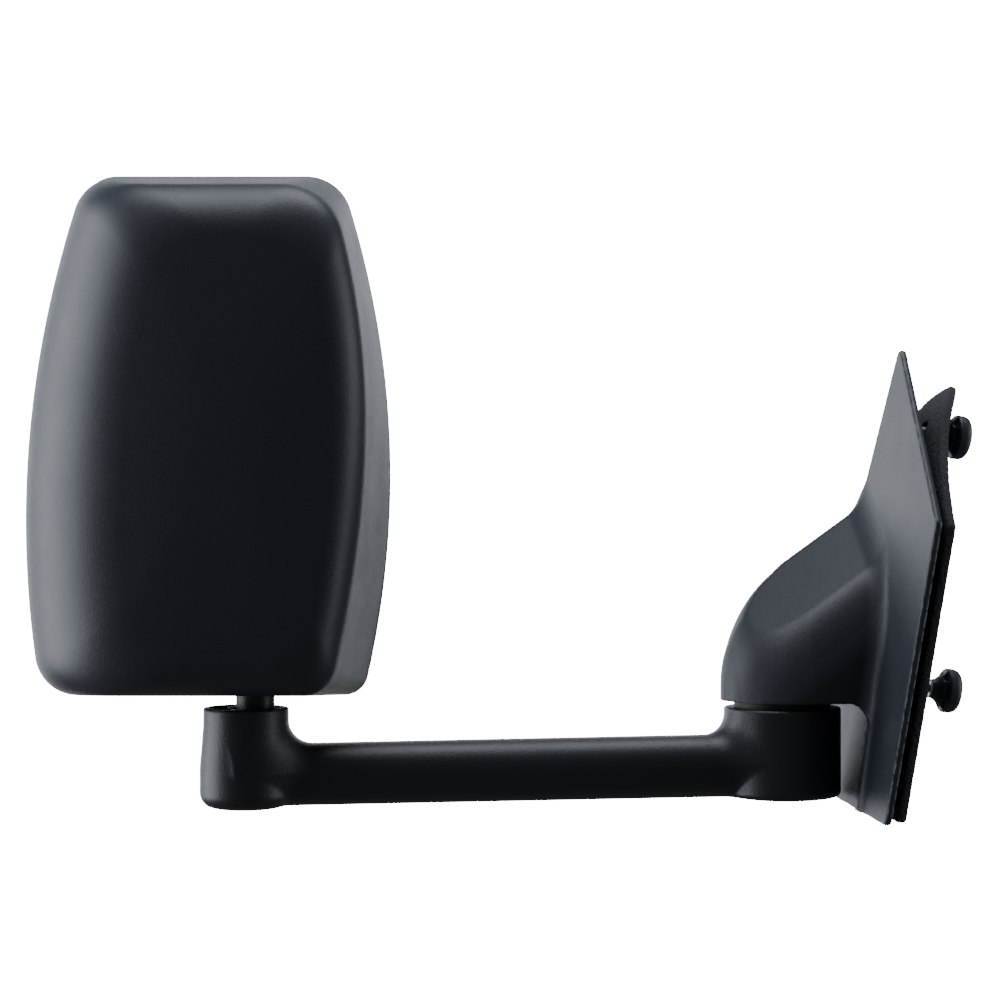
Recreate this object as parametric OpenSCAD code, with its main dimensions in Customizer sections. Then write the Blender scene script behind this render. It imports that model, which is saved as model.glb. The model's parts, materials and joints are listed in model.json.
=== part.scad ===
// Manual towing mirror for a van or pick-up door, right-hand side.
// A tall head turns on a post at the end of a cranked arm. The arm folds
// about a hub under the shroud of a triangular sail plate, which is held on
// the door by two studs and hand knobs over a foam gasket.
// Frame: +X inboard, +Y rearward, +Z up, origin midway between the two studs
// on the gasket's door face.

/* [Sail plate and gasket] */
// Lean of the door plane, top edge inboard
door_lean = 8; // [0:1:15]
// Thickness of the sail plate's rim
plate_t = 3.7; // [3:0.1:6]
// Thickness of the backing part of the cast bracket
backing_t = 3.3; // [2:0.1:6]
// Thickness of the foam gasket
gasket_t = 4.8; // [3:0.1:8]
// How far the gasket's free tip curls off the door plane
curl_reach = 24; // [5:1:30]
// Height of the free, curled part of the gasket
curl_height = 78; // [50:1:85]

/* [Studs and knobs] */
// Distance between the two studs
stud_spacing = 137; // [120:1:150]
// Radius of a stud's plain shank
stud_r = 3; // [2.5:0.5:4]
// Radius of a stud's threaded end, at the pitch line
thread_r = 2.6; // [2:0.1:2.6]
// Door face to the lower knob's nose
knob_lower_at = 26.2; // [24:0.1:34]
// Door face to the upper knob's nose
knob_upper_at = 12.5; // [12:0.1:30]
// Radius of a knob's rim
knob_r = 12; // [10:0.5:16]
// Length of a knob
knob_len = 16.5; // [14:0.5:22]

/* [Hub and fold pivot] */
// Hub axis, inboard coordinate
hub_x = -63.3; // [-70:0.1:-60]
// Hub axis and arm axis, rearward coordinate
arm_y = 10; // [0:1:20]
// Radius of the arm's hub
hub_r = 31.5; // [28:0.5:34]
// Top of the hub
hub_top = -81.1; // [-84:0.1:-80]
// Underside of the hub
hub_bottom = -129.7; // [-134:0.1:-126]
// Underside of the shroud
shroud_z = -77.5; // [-78:0.1:-76]
// Radius of the fold spindle
spindle_r = 8; // [7:0.5:9]

/* [Arm and elbow] */
// Elbow axis, inboard coordinate
elbow_x = -352.3; // [-380:0.1:-300]
// Post axis, inboard coordinate
post_x = -347.5; // [-375:0.1:-295]
// Height of the arm's centre line
arm_z = -112.6; // [-116:0.1:-110]
// Radius of the arm at the elbow
arm_r_out = 16.3; // [14:0.1:17]
// Radius of the arm at the hub
arm_r_in = 17.2; // [15:0.1:18]
// Top rim of the elbow
elbow_top = -77.2; // [-80:0.1:-76]
// Radius of the elbow's rim
elbow_r = 22.1; // [21:0.1:24]
// Radius of the visible neck of the post
neck_r = 10; // [9:0.5:12]

/* [Head] */
// Turn of the head on its post, glass towards the driver
head_yaw = 10; // [0:1:20]
// Glass side rim of the head, rearward of the post
rim_w = 38; // [34:1:42]
// Depth of the head from rim to back
head_depth = 88; // [80:1:100]
// Top of the head at the rim
head_top = 204.1; // [190:0.1:215]
// Underside of the head at the rim
head_bottom = -73.9; // [-75:0.1:-70]
// Widest outboard point of the rim, from the post
head_left = -124.3; // [-135:0.1:-110]
// Widest inboard point of the rim, from the post
head_right = 68.7; // [60:0.1:80]
// Wall of the head shell
shell_t = 2.6; // [2:0.1:4]

/* [Mirror glasses] */
// Height of the middle of the bar between the two glasses
divider_z = 2; // [-10:1:20]
// Height of that bar
divider_h = 12; // [8:1:20]
// Front face of the glasses, rearward of the post
glass_w = 28; // [26:1:30]
// Radius of curvature of the spot glass
spot_curve = 600; // [400:50:1200]

/* [Hidden] */
$fn = 64;

plastic = "#2b313b";
casting = "#23272f";
foam = "#4a4e57";
steel = "#b9bec6";
zinc = "#9aa0a8";
brass = "#b5975a";
nylon = "#d8d6cc";
rubber = "#1c1d20";
silver = "#cfd8e0";

run_gap = 0.05;
seat_gap = 0.02;
backing_x = -gasket_t;
plate_in_x = -gasket_t - backing_t;
plate_out_x = plate_in_x - plate_t;
elbow_bottom = -129.9;
elbow_low_r = 24;
back_w = rim_w - head_depth;

// ---- outlines and lofts ----

// Points along an arc, ends included.
function arc(c, r, a0, a1, n) =
    [for (i = [0 : n]) let (a = a0 + (a1 - a0) * i / n) [c[0] + r * cos(a), c[1] + r * sin(a)]];

// A polygon whose corners are replaced by arcs; pts runs counter-clockwise.
function unit(v) = v / norm(v);
function corner(a, p, b, r, n) =
    let (u = unit(a - p), v = unit(b - p), half = acos(u * v) / 2,
        c = p + unit(u + v) * r / sin(half), s = p + u * r / tan(half), e = p + v * r / tan(half),
        a0 = atan2(s[1] - c[1], s[0] - c[0]), a1 = atan2(e[1] - c[1], e[0] - c[0]),
        d = a1 - a0, turn = d > 180 ? d - 360 : d < -180 ? d + 360 : d)
    arc(c, r, a0, a0 + turn, n);
function rounded(pts, r, n = 6) =
    let (m = len(pts))
    [for (i = [0 : m - 1]) each corner(pts[(i + m - 1) % m], pts[i], pts[(i + 1) % m], r, n)];

// Triangles of the skin between m rings of n points; out picks the side it faces.
function skin(m, n, base, out) =
    [for (i = [0 : m - 2], j = [0 : n - 1])
        let (a = base + i * n + j, b = base + i * n + (j + 1) % n, c = a + n, d = b + n)
        each (out ? [[a, d, b], [a, c, d]] : [[a, b, d], [a, d, c]])];
function cap(n, base, out) = [for (j = [0 : n - 1]) base + (out ? n - 1 - j : j)];
// A closed solid through m rings of n points.
module loft(rings) {
    m = len(rings);
    n = len(rings[0]);
    polyhedron([for (ring = rings) each ring],
        concat(skin(m, n, 0, true), [cap(n, 0, false)], [cap(n, (m - 1) * n, true)]));
}
// Smooth change from a flat run to a slope of 1, with a rounding of size s.
function soft_rise(d, s) = (d + sqrt(d * d + s * s)) / 2;

module door_frame() { rotate([0, door_lean, 0]) children(); }
// Extrudes a (y, z) outline along x from x0 to x1.
module along_x(x0, x1) { translate([x0, 0, 0]) rotate([90, 0, 90]) linear_extrude(x1 - x0) children(); }
module head_frame_of() { translate([post_x, arm_y, 0]) rotate([0, 0, -head_yaw]) children(); }
// Extrudes a (u, z) outline across the head's depth from w0 to w1.
module along_w(w0, w1) { translate([0, w1, 0]) rotate([90, 0, 0]) linear_extrude(w1 - w0) children(); }
module tube(r_out, r_in, z0, z1) {
    translate([0, 0, z0]) difference() {
        cylinder(r = r_out, h = z1 - z0);
        translate([0, 0, -1]) cylinder(r = r_in, h = z1 - z0 + 2);
    }
}
module at_hub() { translate([hub_x, arm_y, 0]) children(); }
module at_post() { translate([post_x, arm_y, 0]) children(); }
module rod(r, z0, z1) { translate([0, 0, z0]) cylinder(r = r, h = z1 - z0); }
// A screw along -z with its pan head's underside at z = 0.
module pan_screw(shank_r, shank, head_r, head) {
    union() {
        rod(shank_r, -shank, 0.5);
        difference() {
            rod(head_r, 0, head);
            translate([0, 0, head - 0.8]) cylinder(r = head_r * 0.5, h = 2, $fn = 6);
        }
    }
}

// ---- sail plate, shroud and what they carry ----

sail_pts = [[14, 115.5], [-80.5, 17.9], [-65, -139.8], [60, -132.5], [58, -40], [43, 33]];
bracket_pts = [[-48, 40], [-68, 17], [-57, -130], [50, -124], [50, -40], [36, 28], [30, 40]];
bracket_screw_at = [[-57, 12], [-48, -116], [42, -114], [20, 32]];

// X of the plate's outer face at height z.
function plate_face(z) = plate_out_x / cos(door_lean) + z * tan(door_lean);
shroud_r = 32.7;
shroud_top = 31;
shroud_floor = 3.5;
// Outboard nose, front flank and rear flank of the shroud at height z.
function nose_x(z) = hub_x - shroud_r - 0.8 + soft_rise((z + 22.5) / 0.7, 24);
function flank_front(z) = arm_y - shroud_r + 0.92 * soft_rise(z + 34, 14);
function flank_rear(z) = arm_y + shroud_r - 1;
function shroud_ring(z, wall, reach, fillet) =
    let (y0 = flank_front(z) + wall, y1 = flank_rear(z) - wall, r = (y1 - y0) / 2,
        xn = nose_x(z) + wall, xp = plate_face(z) + reach, f = min(fillet, (xp - xn - r) * 0.9))
    [for (p = concat([[xp, y1]], arc([xn + r, (y0 + y1) / 2], r, 90, 270, 12),
        fillet > 0 ? arc([xp - f, y0 - f], f, 90, 0, 4) : [[xp, y0]])) [p[0], p[1], z]];
module shroud_body() {
    loft([for (i = [0 : 12]) shroud_ring(shroud_z + (shroud_top - shroud_z) * i / 12, 0, 0.6, 9)]);
}
module shroud_hollow() {
    z0 = shroud_z + shroud_floor;
    loft([for (i = [0 : 8]) shroud_ring(z0 + (16 - z0) * i / 8, 3.5, 14, 0)]);
}
// Front cheek that carries the shroud's flank down to the plate's bottom edge,
// with a round corner under the shroud.
cheek_r = 12;
cheek_t = 2;
module cheek() {
    x0 = plate_face(shroud_z);
    translate([0, arm_y - shroud_r + 2, 0]) rotate([90, 0, 0]) linear_extrude(7) difference() {
        polygon([[x0 - cheek_t - cheek_r, shroud_z + 2], [x0 + 1, shroud_z + 2], [plate_face(-133) + 1, -133],
            [plate_face(-133) - cheek_t, -133], [plate_face(shroud_z - cheek_r) - cheek_t, shroud_z - cheek_r],
            [x0 - cheek_t - cheek_r, shroud_z - cheek_r]]);
        translate([x0 - cheek_t - cheek_r - 1.2, shroud_z - cheek_r]) circle(cheek_r);
    }
}

module base_housing() color(plastic) difference() {
    union() {
        door_frame() along_x(plate_out_x, plate_in_x) polygon(rounded(sail_pts, 4));
        door_frame() translate([plate_in_x, 0, stud_spacing / 2]) rotate([0, 90, 0]) cylinder(r = 9, h = 3.5);
        shroud_body();
        cheek();
    }
    shroud_hollow();
    at_hub() rod(spindle_r + 5, shroud_z - 1, shroud_z + shroud_floor + 1);
    door_frame() {
        translate([plate_in_x - 1.75, 0, stud_spacing / 2]) rotate([0, 90, 0]) {
            cylinder(r = 6.05, h = 2.6);
            cylinder(r = stud_r + 0.42, h = 12);
        }
        for (p = bracket_screw_at) translate([plate_in_x - 3, p[0], p[1]]) rotate([0, 90, 0])
            cylinder(r = 1.92, h = 6);
    }
}

module gusset(y0) {
    translate([0, y0 + 4, 0]) rotate([90, 0, 0]) linear_extrude(4)
        polygon([[hub_x + 10, -69], [-19, -69], [-14.2, -38], [-17, -38]]);
}
module base_bracket() color(zinc) difference() {
    union() {
        door_frame() along_x(plate_in_x, backing_x) polygon(rounded(bracket_pts, 4));
        intersection() {
            union() {
                at_hub() rod(24, -74, -68);
                translate([hub_x, arm_y - 20, -74]) cube([hub_x * -1, 40, 6]);
            }
            door_frame() translate([-100, -60, -120]) cube([100 + backing_x - 1, 140, 120]);
        }
        intersection() {
            union() {
                gusset(arm_y - 20);
                gusset(arm_y + 16);
            }
            door_frame() translate([-100, -60, -120]) cube([100 + backing_x - 1, 140, 120]);
        }
    }
    at_hub() {
        rod(spindle_r + 0.1, -75, -67);
        for (a = [30, 150, 270]) rotate([0, 0, a]) translate([14, 0, 0]) rod(2.52, -75, -67);
    }
    door_frame() {
        translate([plate_in_x - 3.3, 0, -stud_spacing / 2]) rotate([0, 90, 0]) {
            cylinder(r = 6.6, h = 3.3);
            cylinder(r = stud_r + 0.42, h = 12);
        }
        for (p = bracket_screw_at) translate([plate_in_x - 1, p[0], p[1]]) rotate([0, 90, 0]) {
            cylinder(r = 1.95, h = 6);
            translate([0, 0, 1 + backing_t - 2.1]) cylinder(r1 = 1.95, r2 = 4.1, h = 2.15);
        }
    }
}
module bracket_screws() color(steel) door_frame()
    for (p = bracket_screw_at) translate([plate_in_x - 2.9, p[0], p[1]]) rotate([0, 90, 0]) {
        cylinder(r = 1.88, h = 2.9 + backing_t - 2);
        translate([0, 0, 2.9 + backing_t - 2.05]) cylinder(r1 = 1.88, r2 = 3.95, h = 2);
    }

// Inboard face of the gasket, as (x, z) at fraction t of the curl.
gasket_flat_z = 18;
function curl(t) = [curl_reach * (0.72 * pow(t, 2) + 0.28 * pow(t, 8)), gasket_flat_z + curl_height * t];
function curl_back(t) =
    let (p = curl(t), q = curl(t + 0.01), d = unit(q - p)) p + gasket_t * [-d[1], d[0]];
gasket_pts = [[14, 118], [-78.5, 17.2], [-63.5, -137.5], [58, -130.5], [56, -40], [41, 33]];
module gasket() color(foam) door_frame() difference() {
    intersection() {
        along_x(-gasket_t - 1, curl_reach + 10) polygon(rounded(gasket_pts, 3));
        translate([0, 100, 0]) rotate([90, 0, 0]) linear_extrude(200)
            polygon(concat([[-gasket_t, -150], [0, -150]],
                [for (i = [0 : 12]) curl(i / 12)], [for (i = [12 : -1 : 1]) curl_back(i / 12)],
                [[-gasket_t, gasket_flat_z]]));
    }
    for (s = [-1, 1]) translate([-20, 0, s * stud_spacing / 2]) rotate([0, 90, 0]) cylinder(r = 6, h = 60);
}

// How far a stud's end reaches into its knob when the knob is half done up.
stud_reach = 7.5;
// A stud along +x: flange, pressed shoulder, plain shank, threaded end.
module stud(flange_x, flange_t, shoulder_end, shank_end, thread_end, flange_r) rotate([0, 90, 0]) {
    rod(flange_r, flange_x, flange_x + flange_t);
    rod(stud_r + 0.4, flange_x, shoulder_end);
    rod(stud_r, flange_x, shank_end);
    rod(thread_r, flange_x, thread_end - 0.6);
    translate([0, 0, thread_end - 0.6]) cylinder(r1 = thread_r, r2 = thread_r - 0.6, h = 0.6);
}
module stud_upper() color(steel) door_frame() translate([0, 0, stud_spacing / 2])
    stud(plate_in_x - 1.7, 2.5, plate_in_x + 3.5, knob_upper_at - 8, knob_upper_at + stud_reach, 6);
module stud_lower() color(steel) door_frame() translate([0, 0, -stud_spacing / 2])
    stud(plate_in_x - 3.2, 3.2, backing_x, knob_lower_at - 8.8, knob_lower_at + stud_reach, 6.5);

// ---- fold pivot ----

web_bottom = -95;
spring_top = web_bottom - 2;
spring_bottom = -115;
nut_top = spring_bottom - 2.5;
module pivot_spindle() color(steel) at_hub() difference() {
    union() {
        rod(19, -68, -64);
        rod(spindle_r, nut_top, -66);
        rod(6.9, -126, nut_top + 1);
    }
    for (a = [30, 150, 270]) rotate([0, 0, a]) translate([14, 0, 0]) rod(2.55, -69, -63);
}
module spindle_screws() color(zinc) at_hub()
    for (a = [30, 150, 270]) rotate([0, 0, a]) translate([14, 0, -64]) pan_screw(2.5, 9.9, 4.2, 3);
module base_friction_ring() color(rubber) at_hub() tube(26, 13, hub_top + 1.8, shroud_z);
module thrust_washer() color(steel) at_hub() tube(20, spindle_r + 0.3, spring_top, web_bottom);
// One closed tube along a helix, with flattened ends near its seats.
spring_turns = 3.6;
wire_r = 2.2;
function coil_at(t, r, z0, z1) = [r * cos(360 * spring_turns * t), r * sin(360 * spring_turns * t), z0 + (z1 - z0) * t];
function coil_ring(t, r, z0, z1) =
    let (c = coil_at(t, r, z0, z1), a = 360 * spring_turns * t)
    [for (k = [0 : 7]) c + wire_r * [cos(a) * cos(45 * k), sin(a) * cos(45 * k), sin(45 * k)]];
module fold_spring() color(steel) at_hub()
    loft([for (i = [0 : 64]) coil_ring(i / 64, 14.5, spring_top - wire_r, spring_bottom + wire_r)]);
module spring_cup() color(zinc) at_hub() difference() {
    union() {
        tube(20, spindle_r + 0.05, nut_top, spring_bottom);
        tube(20, 18, spring_bottom - 1, spring_bottom + 3);
    }
}
module spindle_nut() color(zinc) at_hub() translate([0, 0, nut_top - 7]) difference() {
    cylinder(r = 12.7, h = 7, $fn = 6);
    translate([0, 0, -1]) cylinder(r = 6.93, h = 9);
}

// ---- arm ----

web_r = 11;
module hub_shape() {
    rotate_extrude() polygon(concat([[0, hub_bottom]], arc([hub_r - 4, hub_bottom + 4], 4, -90, 0, 6),
        arc([hub_r - 1.2, hub_top - 1.2], 1.2, 0, 90, 3), [[0, hub_top]]));
}
module elbow_shape() {
    rotate_extrude() polygon(concat([[0, elbow_bottom]],
        arc([elbow_low_r - 10, elbow_bottom + 10], 10, -90, 0, 6),
        [[elbow_low_r, -108], [elbow_r + 0.2, -88], [elbow_r, elbow_top + 0.5],
        [elbow_r - 0.5, elbow_top], [0, elbow_top]]));
}
// Web of a given radius between two faces of the casting, extruded across the arm.
module fillet_web(x, z, r, away, depth) {
    translate([x, arm_y + depth / 2, z]) rotate([90, 0, 0]) linear_extrude(depth) difference() {
        translate([away > 0 ? -3 : -r, -3]) square([r + 3, r + 3]);
        translate([away * r, r]) circle(r);
    }
}
module arm_casting() color(casting) difference() {
    union() {
        at_hub() hub_shape();
        translate([elbow_x, arm_y, 0]) elbow_shape();
        translate([elbow_x, arm_y, arm_z]) rotate([0, 90, 0])
            cylinder(r1 = arm_r_out, r2 = arm_r_in, h = hub_x - elbow_x);
        fillet_web(elbow_x + elbow_low_r - 1.5, arm_z + arm_r_out - 0.6, 12, 1, 16);
        fillet_web(hub_x - hub_r + 0.6, arm_z + arm_r_in - 0.6, 11, -1, 18);
    }
    at_hub() {
        rod(web_r + seat_gap, hub_bottom - 1, hub_top + 1);
        rod(24, hub_bottom - 1, web_bottom);
    }
    translate([elbow_x + 27, arm_y, arm_z]) rotate([0, 90, 0]) cylinder(r = 11, h = hub_x - elbow_x - 48);
    translate([elbow_x, arm_y, 0]) rod(18.4, elbow_top - 4.2, elbow_top + 1);
    at_post() {
        rod(13.05, -86, elbow_top);
        rod(9.5 + seat_gap, -109, -85);
        rod(12.6, elbow_bottom - 1, -108);
    }
    for (s = [-1, 1]) translate([elbow_x - 6.5, arm_y + s * 10.5, 0]) rod(1.52, -91, elbow_top);
}
module hub_bush() color(nylon) at_hub() tube(web_r, spindle_r + run_gap, web_bottom, hub_top - 0.2);
module arm_friction_ring() color(rubber) at_hub() tube(26, 13, hub_top, hub_top + 1.8);
module hub_cap() color(rubber) at_hub() rod(23.9, hub_bottom, hub_bottom + 2.5);
module post_bush_upper() color(nylon) at_post() {
    tube(9.5, 7 + run_gap, -97, -84.5);
    tube(13, 7 + run_gap, -86, -84);
}
module post_bush_lower() color(nylon) at_post() {
    tube(9.5, 7 + run_gap, -108.5, -99);
    tube(12, 7 + run_gap, -110, -108);
}
module elbow_cap() color(rubber) difference() {
    translate([elbow_x, arm_y, 0]) rod(18.35, elbow_top - 4.2, elbow_top - 1.7);
    at_post() rod(neck_r + 0.4, -90, -70);
    for (s = [-1, 1]) translate([elbow_x - 6.5, arm_y + s * 10.5, 0]) rod(1.6, -90, -70);
}
module elbow_cap_screws() color(steel)
    for (s = [-1, 1]) translate([elbow_x - 6.5, arm_y + s * 10.5, elbow_top - 1.7])
        pan_screw(1.5, 11, 2.6, 1.5);
module elbow_plug() color(rubber) at_post() rod(12.55, -128.6, -126.4);

// ---- head ----

// Rim outline with its four edges moved in; the corner radii run round from
// bottom right to top right, top left and bottom left.
side_right = [head_right, 0.00105, 43.6];
side_left = [head_left, 0.00096, 19.6];
rim_radii = [13, 25, 19, 20];
function right_x(z, in) = side_right[0] - in - side_right[1] * pow(z - side_right[2], 2);
function left_x(z, in) = side_left[0] + in + side_left[1] * pow(z - side_left[2], 2);
function right_lean(z) = atan(2 * side_right[1] * (z - side_right[2]));
function left_lean(z) = atan(2 * side_left[1] * (z - side_left[2]));
function head_outline(il, ir, it, ib, radii) =
    let (zb = head_bottom + ib, zt = head_top - it,
        c = [zb + radii[0], zt - radii[1], zt - radii[2], zb + radii[3]],
        a = [right_lean(c[0]), right_lean(c[1]), left_lean(c[2]), left_lean(c[3])],
        t = [for (i = [0 : 3]) c[i] + radii[i] * sin(a[i])])
    concat(
        arc([right_x(t[0], ir) - radii[0] * cos(a[0]), c[0]], radii[0], -90, a[0], 5),
        [for (i = [1 : 5]) let (z = t[0] + (t[1] - t[0]) * i / 6) [right_x(z, ir), z]],
        arc([right_x(t[1], ir) - radii[1] * cos(a[1]), c[1]], radii[1], a[1], 90, 6),
        arc([left_x(t[2], il) + radii[2] * cos(a[2]), c[2]], radii[2], 90, 180 - a[2], 6),
        [for (i = [1 : 5]) let (z = t[2] + (t[3] - t[2]) * i / 6) [left_x(z, il), z]],
        arc([left_x(t[3], il) + radii[3] * cos(a[3]), c[3]], radii[3], 180 - a[3], 270, 5));

// Inset of one wall at depth w: draft, then an elliptical rounding of width e
// that starts at w0 and ends in the back face.
function wall_in(w, back, draft, w0, e) =
    (rim_w - w) * tan(draft) + (w < w0 ? e * (1 - sqrt(max(0, 1 - pow((w0 - w) / (w0 - back), 2)))) : 0);
// Rings of the head's skin, moved in by t.
function head_rings(t) =
    let (back = back_w + t)
    [for (s = [0, 0.2, 0.4, 0.58, 0.72, 0.84, 0.92, 0.97, 1])
        let (w = rim_w - s * (rim_w - back), g = 0.25 * s * 40)
        [for (p = head_outline(t + wall_in(w, back, 3, 20, 62), t + wall_in(w, back, 12.5, -34, 15),
            t + wall_in(w, back, 11, -26, 22), t + wall_in(w, back, 4, -30, 18),
            [for (r = rim_radii) r - t * 0.8 + g])) [p[0], w, p[1]]]];
boss_at = [[-48, 150], [10, 150], [-60, -36], [27, 40]];
frame_front = -4;
frame_back = -7;
module head_shell() color(plastic) head_frame_of() difference() {
    union() {
        outer = head_rings(0);
        inner = head_rings(shell_t);
        m = len(outer);
        n = len(outer[0]);
        polyhedron([for (ring = concat(outer, inner)) each ring],
            concat(skin(m, n, 0, true), [cap(n, (m - 1) * n, true)],
                skin(m, n, m * n, false), [cap(n, (2 * m - 1) * n, false)],
                [for (j = [0 : n - 1]) let (k = (j + 1) % n) each [[j, k, m * n + j], [k, m * n + k, m * n + j]]]));
        for (p = boss_at) translate([p[0], frame_back, p[1]]) rotate([90, 0, 0]) cylinder(r = 5.5, h = frame_back - back_w - 1.5);
    }
    translate([0, 0, -85]) cylinder(r = neck_r + 0.6, h = 26);
    for (p = boss_at) translate([p[0], frame_back + 1, p[1]]) rotate([90, 0, 0]) cylinder(r = 1.6, h = 22);
}

// Openings and plates of the two glasses share one outline each.
opening_in = 11;
module glass_area(which, in, r) {
    top = which == "main" ? 0 : head_top - (divider_z - divider_h / 2) - opening_in;
    bottom = which == "main" ? divider_z + divider_h / 2 - head_bottom - opening_in : 0;
    polygon(head_outline(in, in, in + top, in + bottom, [r, r, r, r]));
}
module head_bezel() color(plastic) head_frame_of() along_w(rim_w - 3.5, rim_w - 0.5) difference() {
    polygon(head_outline(3, 3.8, 3.7, 3.1, [11, 22, 16, 17]));
    glass_area("main", opening_in, 13);
    glass_area("spot", opening_in, 9);
}

pivot_at = [[-27, 101], [-30, -33]];
pan_w = 4;
tilt_w = 11;
module ears(p) for (s = [-1, 1]) translate([p[0], 0, p[1] + (s > 0 ? 8.4 : -14.4)]) difference() {
    union() {
        translate([-6, frame_front - 1, 0]) cube([12, pan_w - frame_front + 1, 6]);
        translate([0, pan_w, 0]) cylinder(r = 6, h = 6);
    }
    translate([0, pan_w, -1]) cylinder(r = 2.52, h = 8);
}
module head_frame() color(zinc) head_frame_of() difference() {
    union() {
        along_w(frame_back, frame_front) difference() {
            polygon(rounded([[38, 172], [-92, 172], [-104, -48], [42, -48]], 14));
            for (x = [-84, 2]) for (z = [112, 60]) translate([x, z]) square([30, 34]);
            translate([-86, 0]) square([34, 44]);
        }
        for (p = pivot_at) ears(p);
    }
    for (p = boss_at) translate([p[0], frame_front + 1, p[1]]) rotate([90, 0, 0]) cylinder(r = 2.1, h = 6);
    for (p = riser_screw_at) translate([p[0], frame_front + 1, p[1]]) rotate([90, 0, 0]) cylinder(r = 2.1, h = 6);
}
module frame_screws() color(steel) head_frame_of()
    for (p = boss_at) translate([p[0], frame_front, p[1]]) rotate([-90, 0, 0]) pan_screw(1.58, 20, 3.6, 2.4);

riser_screw_at = [[-14, -42], [14, -42], [-12, -4], [12, -4]];
shelf_z = -57;
// Flange screws as (u, w), and the flat that keeps the flange clear of the spotter.
flange_screw_at = [[-9.75, -14], [9.75, -14], [-17, 3.5], [17, 3.5]];
flange_front = 9.5;
module post_bracket() color(steel) head_frame_of() difference() {
    union() {
        along_w(frame_back - 3, frame_back) polygon(rounded([[20, 8], [-20, 8], [-24, shelf_z], [24, shelf_z]], 2));
        translate([-24, -19, shelf_z]) cube([48, 19 + flange_front, 3]);
    }
    for (p = riser_screw_at) translate([p[0], 0, p[1]]) rotate([90, 0, 0]) cylinder(r = 2.02, h = 20);
    for (p = flange_screw_at) translate([p[0], p[1], 0]) rod(2.05, -60, -50);
}
module post_bracket_screws() color(zinc) head_frame_of()
    for (p = riser_screw_at) translate([p[0], frame_front, p[1]]) rotate([-90, 0, 0]) pan_screw(2, 9, 3.6, 2.6);
module swivel_post() color(casting) at_post() difference() {
    union() {
        intersection() {
            rod(22, shelf_z - 4, shelf_z);
            rotate([0, 0, -head_yaw]) translate([-30, -30, shelf_z - 5]) cube([60, 30 + flange_front, 6]);
        }
        rod(neck_r, -84, shelf_z - 3);
        rod(7, -116, -83);
        rod(4.95, -124.5, -115);
    }
    rotate([0, 0, -head_yaw]) for (p = flange_screw_at) translate([p[0], p[1], 0]) rod(2.02, -62, -50);
}
module flange_screws() color(zinc) head_frame_of()
    for (p = flange_screw_at) translate([p[0], p[1], shelf_z + 3]) pan_screw(2, 6.9, 3.4, 2.6);
module post_washer() color(steel) at_post() tube(12, 7 + run_gap, -112, -110);
module disc_springs() color(steel) at_post()
    for (i = [0 : 1]) translate([0, 0, -114 - 2 * i]) rotate_extrude()
        polygon(i == 0 ? [[7.2, 0.9], [7.2, 1.9], [11.5, 1], [11.5, 0]] : [[7.2, 0], [7.2, 1], [11.5, 1.9], [11.5, 0.9]]);
module post_nut() color(zinc) at_post() translate([0, 0, -123]) difference() {
    cylinder(r = 9.8, h = 7, $fn = 6);
    translate([0, 0, -1]) cylinder(r = 4.98, h = 9);
}

// ---- glasses ----

module at_pivot(i) { head_frame_of() translate([pivot_at[i][0], 0, pivot_at[i][1]]) children(); }
module pan_pin(i) at_pivot(i) translate([0, pan_w, 0]) rod(2.5, -17, 17);
module cross(i) at_pivot(i) difference() {
    translate([-8, 0, -8]) cube([16, 16, 16]);
    translate([0, pan_w, 0]) rod(2.5 + run_gap, -9, 9);
    translate([0, tilt_w, 0]) rotate([0, 90, 0]) cylinder(r = 2.02, h = 20, center = true);
}
module tilt_pin(i) at_pivot(i) translate([0, tilt_w, 0]) rotate([0, 90, 0]) cylinder(r = 2, h = 28, center = true);
carrier_back = glass_w - 5.5;
module lugs(i) at_pivot(i) for (s = [-1, 1]) translate([s > 0 ? 8.4 : -13.4, 0, 0]) difference() {
    union() {
        translate([0, tilt_w, -6]) cube([5, carrier_back - tilt_w + 1, 12]);
        translate([0, tilt_w, 0]) rotate([0, 90, 0]) cylinder(r = 6, h = 5);
    }
    translate([-1, tilt_w, 0]) rotate([0, 90, 0]) cylinder(r = 2 + run_gap, h = 7);
}
module carrier(i, which, r) {
    head_frame_of() difference() {
        along_w(carrier_back, glass_w) glass_area(which, 13.5, r);
        along_w(carrier_back + 2.5, glass_w + 1) glass_area(which, 14.9, r - 1.4);
    }
    lugs(i);
}
module pad(which, r) head_frame_of() along_w(carrier_back + 2.5, carrier_back + 3.5) glass_area(which, 18, r);

module main_pan_pin() color(steel) pan_pin(0);
module main_cross() color(rubber) cross(0);
module main_tilt_pin() color(steel) tilt_pin(0);
module main_carrier() color(rubber) carrier(0, "main", 11);
module main_pad() color(foam) pad("main", 8);
module main_mirror() color(silver) head_frame_of() along_w(glass_w - 2, glass_w - 0.1) glass_area("main", 15.1, 9.5);
module spot_pan_pin() color(steel) pan_pin(1);
module spot_cross() color(rubber) cross(1);
module spot_tilt_pin() color(steel) tilt_pin(1);
module spot_carrier() color(rubber) carrier(1, "spot", 8);
module spot_pad() color(foam) pad("spot", 5);
// Solid glass, flat behind and part of a sphere in front.
module spot_mirror() color(silver) head_frame_of() intersection() {
    along_w(glass_w - 2, glass_w + 5) glass_area("spot", 15.1, 6.5);
    translate([pivot_at[1][0], glass_w + 4.2, pivot_at[1][1]]) rotate([-90, 0, 0]) rotate_extrude()
        polygon(concat([[0, -12], [95, -12]], arc([0, -spot_curve], spot_curve, acos(95 / spot_curve), 90, 10)));
}

// ---- hand knobs ----

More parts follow.
